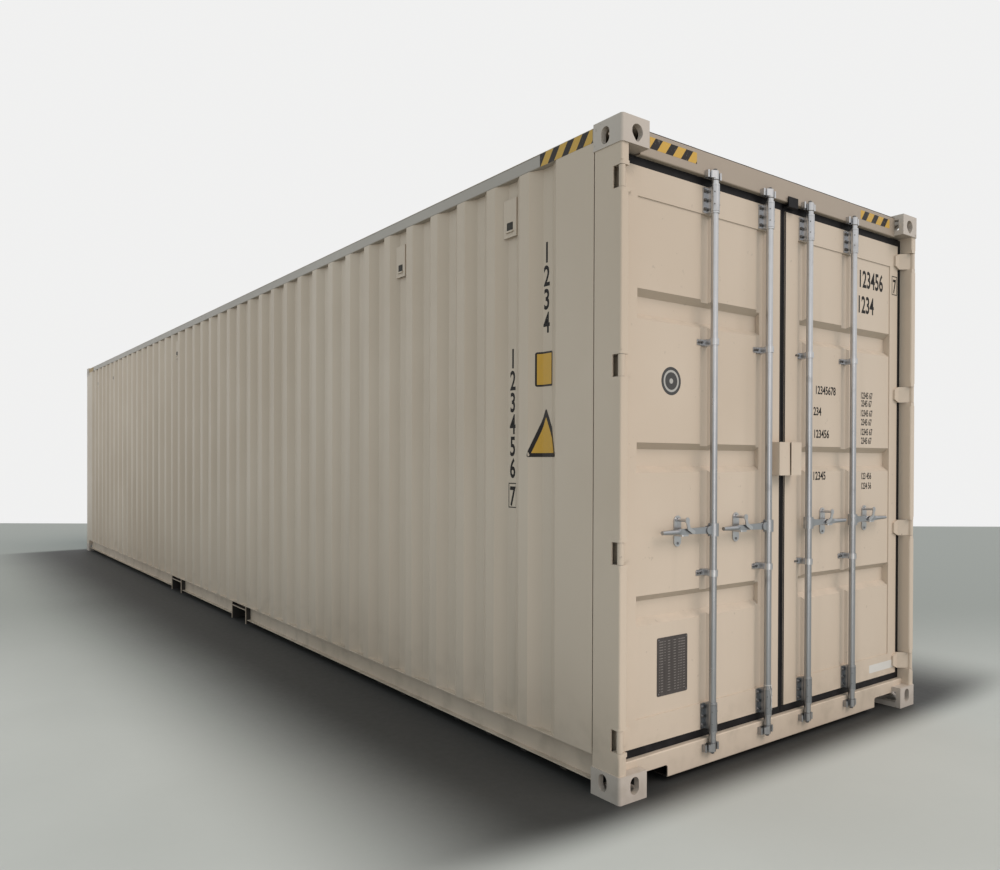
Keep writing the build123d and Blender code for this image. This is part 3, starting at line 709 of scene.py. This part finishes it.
# A dark film low on each ventilator, painted shade standing in for its mouth, with a small lip under it
ventLook = {
    "along": (5.282, 4.170, -0.834, -4.170, -5.282),
    "face": 1.197,
    "level": 2.606,
    "mouth": (0.050, 0.040),
    "corner": 0.004,
    "thick": 0.0006,
    "lip": (0.056, 0.010, 0.007),
    "lipGap": 0.001,
    "lipRound": 0.0018,
    "black": (0.030, 0.028, 0.024),
    "bloom": (0.060, 0.055, 0.048),
}
ventShadeFinish = darkFinish("ventShadeFinish", ventLook)


def ventShadePatch(look, place):
    width, height = look["mouth"]
    mouth = filmPiece("ventShadePatch", width, height, place, look["corner"], look["thick"])
    mouth.data.materials.append(ventShadeFinish)
    long, high, deep = look["lip"]
    bpy.ops.mesh.primitive_cube_add(size=1, location=(0, -(height + high) / 2 - look["lipGap"], deep / 2))
    bpy.context.object.scale = (long, high, deep)
    lip = started("ventLip")
    editPart(lip, lambda edge: True, "EDGE")
    bpy.ops.mesh.bevel(offset=look["lipRound"], segments=2, affect="EDGES")
    leaveEdit()
    lip.data.materials.append(beige)
    lip.data.transform(place)
    return joined([mouth, lip], "ventShadePatch")


for side, name, turn in sides:
    mouths = [
        ventShadePatch(ventLook, Matrix.Translation((x, side * ventLook["face"], ventLook["level"])) @ turn)
        for x in ventLook["along"]
    ]
    mouths = joined(mouths, f"ventShadePatches_{name}")
    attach(mouths, "root")
print("ventilators dressed")

# Plain number rows, in the places where such a container is numbered
inkLook = {
    "black": (0.005, 0.0045, 0.0045),
    "faded": (0.022, 0.020, 0.018),
    "film": 0.0004,
    "fontScale": 1.34,      # font size over the height of its digits
    "bold": 0.028,
    "boxLine": 0.005,
}


def numberInk(name, look):
    ink = Finish(name, Specular_IOR_Level=0.2)
    faded = ink.noise(45.0, 5.0)
    colour = ink.blend(faded.ramp(0.55, 0.80), look["black"], look["faded"])
    return ink.finishWith(colour, 0.38 + 0.2 * faded, height=ink.noise(320.0, 2.0) * 0.00002)


ink = numberInk("numberInk", inkLook)


def digits(text, height, narrow, place):
    bpy.ops.object.text_add()
    letters = bpy.context.object
    letters.data.body = text
    letters.data.size = height * inkLook["fontScale"]
    letters.data.align_x = "CENTER"
    letters.data.align_y = "BOTTOM_BASELINE"
    letters.data.resolution_u = 3
    letters.data.extrude = inkLook["film"]
    letters.data.offset = height * inkLook["bold"]
    pick(letters)
    bpy.ops.object.convert(target="MESH")
    letters = bpy.context.object
    letters.data.transform(place @ Matrix.Diagonal((narrow, 1, 1, 1)))
    return letters


def digitBox(width, height, place):
    bpy.ops.mesh.primitive_plane_add(size=1)
    bpy.context.object.scale = (width, height, 1)
    box = started("digitBox")
    editPart(box, lambda face: True)
    bpy.ops.mesh.inset(thickness=inkLook["boxLine"])
    bpy.ops.mesh.delete(type="FACE")
    leaveEdit()
    applied(box, "SOLIDIFY", thickness=inkLook["film"], offset=1.0)
    box.data.transform(place)
    return box


# Upright columns on the side walls, one digit below another
sideNumbers = {
    "short": ("1234", 5.553, 2.381, 0.1103),      # digits, place along the wall, foot of the first, step down
    "long": ("123456", 5.288, 1.906, 0.1090),
    "boxed": ("7", 5.288, 1.222),
    "box": (0.066, 0.124),
    "height": 0.100,
    "narrow": 0.70,
    "wallFace": 1.1790,
}


def sideColumn(look, side, turn):
    def spot(x, z):
        return Matrix.Translation((-side * x, side * look["wallFace"], z)) @ turn

    column = [
        (digit, x, first - i * step)
        for text, x, first, step in (look["short"], look["long"]) for i, digit in enumerate(text)
    ]
    made = [digits(text, look["height"], look["narrow"], spot(x, z)) for text, x, z in [*column, look["boxed"]]]
    x, foot = look["boxed"][1:]
    return [*made, digitBox(*look["box"], spot(x, foot + look["height"] / 2))]


for side, name, turn in sides:
    dress(joined(sideColumn(sideNumbers, side, turn), f"sideNumbers_{name}"), ink, "root")

# Rows on the right leaf
leafNumbers = {
    "face": 6.015,
    "stileFace": 6.020,
    "rows": (("123456", 0.848, 2.442, 0.100), ("1234", 0.794, 2.296, 0.100)),      # digits, middle, foot, height
    "boxed": ("7", 1.100, 2.450, 0.098, 0.60),      # and how narrow the digit is
    "boxedShare": (0.85, 0.43),      # the digit's own height and the box's middle, as shares of that height
    "box": (0.058, 0.112),
    "small": (1.807, 1.762, 1.706, 1.655, 1.599, 1.549, 1.347, 1.291),
    "smallTexts": ("12345 67", "2345 67", "12345 67", "2345 67", "12345 67", "2345 67", "123 456", "1234 56"),
    "smallMiddle": 0.810,
    "wide": (("12345678", 0.397, 1.810), ("1234", 0.310, 1.695), ("123456", 0.360, 1.574), ("12345", 0.342, 1.348)),
    "smallHeight": 0.038,
    "wideHeight": 0.046,
    "narrow": 0.66,
    "wideNarrow": 0.80,
}


def leafRows(look):
    def spot(y, z, face="face"):
        return Matrix.Translation((look[face], y, z)) @ ontoDoor

    made = [digits(text, height, look["narrow"], spot(y, foot)) for text, y, foot, height in look["rows"]]
    digit, y, foot, height, narrow = look["boxed"]
    share, middle = look["boxedShare"]
    made.append(digits(digit, height * share, narrow, spot(y, foot, "stileFace")))
    made.append(digitBox(*look["box"], spot(y, foot + height * middle, "stileFace")))
    for text, foot in zip(look["smallTexts"], look["small"]):
        made.append(digits(text, look["smallHeight"], look["narrow"], spot(look["smallMiddle"], foot)))
    for text, y, foot in look["wide"]:
        made.append(digits(text, look["wideHeight"], look["wideNarrow"], spot(y, foot)))
    return made


dress(joined(leafRows(leafNumbers), "leafNumbers"), ink, "door_right")
print("numbers on")

# Blank yellow signs, laid over the folds of the side wall
signLook = {
    "rect": {"x": 5.545, "z": 1.878, "width": 0.110, "height": 0.164, "line": 0.009, "corner": 0.010},
    "triangle": {"x": 5.552, "foot": 1.462, "width": 0.217, "height": 0.233, "line": 0.019, "corner": 0.014},
    "yellow": (0.610, 0.350, 0.050),
    "worn": (0.520, 0.330, 0.090),
    "cuts": 10,
    "before": -1.217,       # where a sign starts, before it is laid on the wall
    "above": 0.0009,
    "thick": 0.0005,
}


def signColour(name, margin, look):
    sign = Finish(name, Specular_IOR_Level=0.3)
    line = margin(sign) < 0.0
    worn = sign.noise(50.0, 5.0)
    colour = sign.blend(worn.ramp(0.45, 0.80) * 0.4, look["yellow"], look["worn"])
    colour = sign.blend(line, colour, stripeLook["black"])
    return sign.finishWith(colour, 0.30 + 0.2 * worn, height=sign.noise(300.0, 2.0) * 0.00002)


# Lets a sign follow the folds of the left wall
def layOnWall(sign, look):
    editPart(sign, lambda vertex: True, "VERT")
    bpy.ops.mesh.quads_convert_to_tris()
    bpy.ops.mesh.subdivide(number_cuts=look["cuts"])
    leaveEdit()
    applied(
        sign, "SHRINKWRAP", target=nodes["side_wall_left"], wrap_method="PROJECT", use_project_y=True,
        use_negative_direction=True, use_positive_direction=True, offset=look["above"],
    )
    applied(sign, "SOLIDIFY", thickness=look["thick"], offset=-1.0)


def rectSign(signs):
    look = signs["rect"]
    bpy.ops.mesh.primitive_plane_add(size=1)
    bpy.context.object.scale = (look["width"], look["height"], 1)
    sign = started("heightSign")
    roundCorners(sign, look["corner"])
    sign.data.transform(Matrix.Translation((look["x"], signs["before"], look["z"])) @ ontoLeft)
    layOnWall(sign, signs)

    def margin(finish):
        side = look["width"] / 2 - look["line"] - abs(finish.x - look["x"])
        end = look["height"] / 2 - look["line"] - abs(finish.z - look["z"])
        return side.least(end)

    dress(sign, signColour("heightSignFilm", margin, signs), "root")


def triangleSign(signs):
    look = signs["triangle"]
    bpy.ops.mesh.primitive_circle_add(vertices=3, radius=1, fill_type="NGON")
    sign = started("cautionSign")
    low = min(v.co.y for v in sign.data.vertices)
    high = max(v.co.y for v in sign.data.vertices)
    wide = max(v.co.x for v in sign.data.vertices) * 2
    scale = Matrix.Diagonal((look["width"] / wide, look["height"] / (high - low), 1, 1))
    spot = Matrix.Translation((look["x"], signs["before"], look["foot"])) @ ontoLeft
    sign.data.transform(spot @ scale @ Matrix.Translation((0, -low, 0)))
    roundCorners(sign, look["corner"])
    layOnWall(sign, signs)
    slope = look["height"] / (look["width"] / 2)
    steep = (1 + slope * slope) ** 0.5

    def margin(finish):
        top = look["foot"] + look["height"] - slope * abs(finish.x - look["x"]) - finish.z
        return (top / steep - look["line"]).least(finish.z - look["foot"] - look["line"])

    dress(sign, signColour("cautionSignFilm", margin, signs), "root")


rectSign(signLook)
triangleSign(signLook)
print("signs on")

# Bare plates: a riveted data plate and a round badge on the left leaf, a white film on the right one
plateLook = {
    "data": {
        "y": (-0.912, -0.711),
        "z": (0.387, 0.650),
        "face": 6.015,
        "thick": 0.0016,
        "corner": 0.008,
        "rim": 0.005,
        "step": (0.001, -0.0006),
        "rivetsIn": 0.010,
        "rivetScale": 0.6,
        "rows": (0.40, 0.0125, 0.0018),     # start, pitch and half a dash's height
        "bare": 0.0155,                     # edge without dashes
        "dark": (0.060, 0.052, 0.050),
        "brushed": (0.130, 0.115, 0.110),
        "dash": (0.26, 0.235, 0.225),
    },
    "badge": {
        "y": -0.827,
        "z": 1.807,
        "radius": 0.064,
        "face": 6.015,
        "thick": 0.0008,
        "edge": 0.0003,
        "ring": (0.040, 0.050),
        "dot": 0.012,
        "dark": (0.028, 0.027, 0.028),
        "worn": (0.060, 0.058, 0.056),
        "pale": (0.42, 0.41, 0.39),
    },
    "label": {"y": (0.847, 1.113), "z": (0.222, 0.268), "face": 6.020},
}


def plateSteel(name, look):
    steel = Finish(name)
    (width, middle), (height, level) = span(look["y"]), span(look["z"])
    start, pitch, half = look["rows"]
    brushed = steel.noise(90.0, 3.0, (1.0, 1.0, 0.05))
    rows = abs((steel.z - start) % pitch - pitch / 2) < half
    dashes = steel.noise(70.0, 1.0, (1.0, 1.0, 0.02)) > 0.47
    inner = (abs(steel.y - middle) < width / 2 - look["bare"]) * (abs(steel.z - level) < height / 2 - look["bare"])
    colour = steel.blend(brushed, look["dark"], look["brushed"])
    colour = steel.blend(rows * dashes * inner, colour, look["dash"])
    return steel.finishWith(colour, 0.34 + 0.2 * brushed, 0.6 + 0.1 * brushed, brushed * 0.00005)


def dataPlate(look):
    (width, middle), (height, level) = span(look["y"]), span(look["z"])
    spot = Matrix.Translation((look["face"], middle, level)) @ ontoDoor
    plate = filmPiece("dataPlate", width, height, spot, look["corner"], look["thick"])
    editPart(plate, lambda face: face.normal.x > 0.9)
    bpy.ops.mesh.inset(thickness=look["rim"])
    bpy.ops.mesh.inset(thickness=look["step"][0], depth=look["step"][1])
    leaveEdit()
    dress(plate, plateSteel("plateSteel", look), "door_left")
    inset = look["rivetsIn"]
    corners = [
        Matrix.Translation((look["face"] + look["thick"], y, z)) @ ontoDoor @ Matrix.Scale(look["rivetScale"], 4)
        for y in (look["y"][0] + inset, look["y"][1] - inset) for z in (look["z"][0] + inset, look["z"][1] - inset)
    ]
    dress(spread(rivet, corners, "plateRivets"), boltSteel, "door_left")


def badgeFilm(name, look):
    film = Finish(name)
    y, z = film.y - look["y"], film.z - look["z"]
    radius = (y * y + z * z).root()
    near, far = look["ring"]
    rings = ((radius > near) * (radius < far)).most(radius < look["dot"])
    worn = film.noise(70.0, 4.0)
    colour = film.blend(worn, look["dark"], look["worn"])
    colour = film.blend(rings, colour, look["pale"])
    return film.finishWith(colour, 0.35 + 0.2 * worn, height=worn * 0.00003)


def badge(look):
    thick = look["thick"]
    bpy.ops.mesh.primitive_cylinder_add(vertices=56, radius=look["radius"], depth=thick, location=(0, 0, thick / 2))
    disc = started("roundBadge")
    editPart(disc, lambda face: face.normal.z > 0.9)
    bpy.ops.mesh.bevel(offset=look["edge"], segments=1, affect="EDGES")
    leaveEdit()
    disc.data.transform(Matrix.Translation((look["face"], look["y"], look["z"])) @ ontoDoor)
    dress(disc, badgeFilm("badgeFilm", look), "door_left")


def label(look):
    (width, middle), (height, level) = span(look["y"]), span(look["z"])
    film = filmPiece("blankLabel", width, height, Matrix.Translation((look["face"], middle, level)) @ ontoDoor)
    dress(film, whiteFilm("labelFilm", whiteLook), "door_right")


dataPlate(plateLook["data"])
badge(plateLook["badge"])
label(plateLook["label"])
discard(bolt, rivet)
print("plates on")

# Studio: a pale floor that ends where the photograph's does, a pale sky and one soft key light
studio = {
    "cameraPlace": (8.5530, -3.6081, 1.4401),
    "turn": 52.733,
    "drop": 0.377,
    "roll": 0.2006,
    "focal": 817.31,               # pixels of a picture 1000 wide
    "centre": (521.50, 466.94),
    "picture": (1000, 870),
    "floorEnd": 18.55,             # from the camera, along its line of sight
    "floorReach": 60.0,
    "floorPale": (0.560, 0.580, 0.560),
    "floorFar": (0.315, 0.335, 0.318),
    "floorShade": (0.026, 0.027, 0.026),
    "footprint": (6.0, 1.2),       # half the container's length and width, where the floor's shade starts
    "endFall": 4.0,                # how much quicker the shade ends before the doors
    "shadeFrom": 0.45,
    "shadeReach": 1.62,
    # where the floor's painted fall-off of light runs: darker away from the camera, along its line of sight
    "fade": (-4.8, -0.6),
    "fadeAlong": (0.796, 0.606),
    "sky": (0.52, 0.58, 0.59),
    "backdrop": (0.875, 0.875, 0.872),
    "keyStrength": 1.40,
    "keyColour": (1.0, 0.86, 0.78),
    "keyFrom": (0.66, 0.20, 0.72),
    "keySpread": 38.0,
    "lamps": {                     # place, target, size, watts, colour
        "doorLamp": ((9.8, -1.9, 1.1), (6.0, -0.3, 1.0), 3.0, 26.0, (1.0, 0.90, 0.84)),
        "wallLamp": ((-4.5, -7.5, 4.0), (-4.5, -1.2, 1.4), 4.5, 62.0, (1.0, 0.92, 0.84)),
    },
}


def setCamera(look):
    turn, drop, roll = (radians(look[key]) for key in ("turn", "drop", "roll"))
    ahead = Vector((-sin(turn) * cos(drop), cos(turn) * cos(drop), -sin(drop)))
    level = Vector((cos(turn), sin(turn), 0))
    upright = level.cross(ahead)
    right = cos(roll) * level + sin(roll) * upright
    up = cos(roll) * upright - sin(roll) * level
    lens = bpy.data.cameras.new("photoCamera")
    wide, high = look["picture"]
    lens.sensor_width = 36.0
    lens.lens = lens.sensor_width * look["focal"] / wide
    lens.shift_x = 0.5 - look["centre"][0] / wide
    lens.shift_y = (look["centre"][1] - high / 2) / wide
    lens.clip_end = 300.0
    camera = bpy.data.objects.new("photoCamera", lens)
    camera.matrix_world = Matrix.Translation(look["cameraPlace"]) @ Matrix((right, up, -ahead)).transposed().to_4x4()
    scene.collection.objects.link(camera)
    scene.camera = camera


def floorPaint(look):
    floor = Finish("studioFloor")
    cloudy = floor.noise(0.5, 5.0)
    speckle = floor.noise(24.0, 4.0)
    halfLong, halfWide = look["footprint"]
    ahead, aside = (abs(floor.x) - halfLong).most(0.0) * look["endFall"], (abs(floor.y) - halfWide).most(0.0)
    gap = (ahead * ahead + aside * aside).root()
    alongX, alongY = look["fadeAlong"]
    depth = floor.y * alongY - floor.x * alongX
    # Painted fall-off of light: the floor turns to the far colour away from the camera
    colour = floor.blend(depth.ramp(*look["fade"]), look["floorPale"], look["floorFar"])
    colour = floor.blend(cloudy.ramp(0.35, 0.70) * 0.18, colour, look["floorFar"])
    shade = 1 - (gap + 0.2 * cloudy).ramp(look["shadeFrom"], look["shadeReach"])
    colour = floor.blend(shade, colour, look["floorShade"])
    return floor.finishWith(colour, 0.62 + 0.15 * speckle, height=speckle * 0.0002)


def layFloor(look):
    reach, turn = look["floorReach"], radians(look["turn"])
    bpy.ops.mesh.primitive_grid_add(x_subdivisions=24, y_subdivisions=24, size=2 * reach)
    floor = started("studioFloor")
    ahead = Vector((-sin(turn), cos(turn), 0))
    edge = Vector((*look["cameraPlace"][:2], 0)) + ahead * look["floorEnd"]
    editPart(floor, lambda vertex: True, "VERT")
    bpy.ops.mesh.bisect(plane_co=edge, plane_no=ahead, clear_outer=True)
    leaveEdit()
    floor.data.materials.append(floorPaint(look))


def setSky(look):
    world = bpy.data.worlds.new("studioSky")
    scene.world = world
    world.use_nodes = True
    tree = world.node_tree
    tree.nodes.clear()

    def node(kind, *sources, **settings):
        made = tree.nodes.new(f"ShaderNode{kind}")
        for key, value in settings.items():
            setattr(made, key, value)
        for socket, source in zip(made.inputs, sources):
            tree.links.new(source, socket)
        return made

    path = node("LightPath").outputs
    mirrored = node("Math", path["Is Glossy Ray"], path["Is Transmission Ray"], operation="MAXIMUM")
    seen = node("Math", path["Is Camera Ray"], mirrored.outputs[0], operation="MAXIMUM")
    sky, backdrop = node("Background"), node("Background")
    sky.inputs[0].default_value = (*look["sky"], 1)
    backdrop.inputs[0].default_value = (*look["backdrop"], 1)
    node("OutputWorld", node("MixShader", seen.outputs[0], sky.outputs[0], backdrop.outputs[0]).outputs[0])


def keyLight(look):
    lamp = bpy.data.lights.new("keyLight", "SUN")
    lamp.energy = look["keyStrength"]
    lamp.color = look["keyColour"]
    lamp.angle = radians(look["keySpread"])
    key = bpy.data.objects.new("keyLight", lamp)
    key.rotation_mode = "QUATERNION"
    key.rotation_quaternion = Vector(look["keyFrom"]).to_track_quat("Z", "Y")
    scene.collection.objects.link(key)


def hangLamp(name, place, target, size, watts, colour):
    lamp = bpy.data.lights.new(name, "AREA")
    lamp.shape = "DISK"
    lamp.size = size
    lamp.energy = watts
    lamp.color = colour
    hung = bpy.data.objects.new(name, lamp)
    hung.matrix_world = Matrix.Translation(place) @ (
        (Vector(place) - Vector(target)).to_track_quat("Z", "Y").to_matrix().to_4x4()
    )
    hung.visible_camera = False
    scene.collection.objects.link(hung)


setCamera(studio)
layFloor(studio)
setSky(studio)
keyLight(studio)
for name, settings in studio["lamps"].items():
    hangLamp(name, *settings)
print("studio ready")
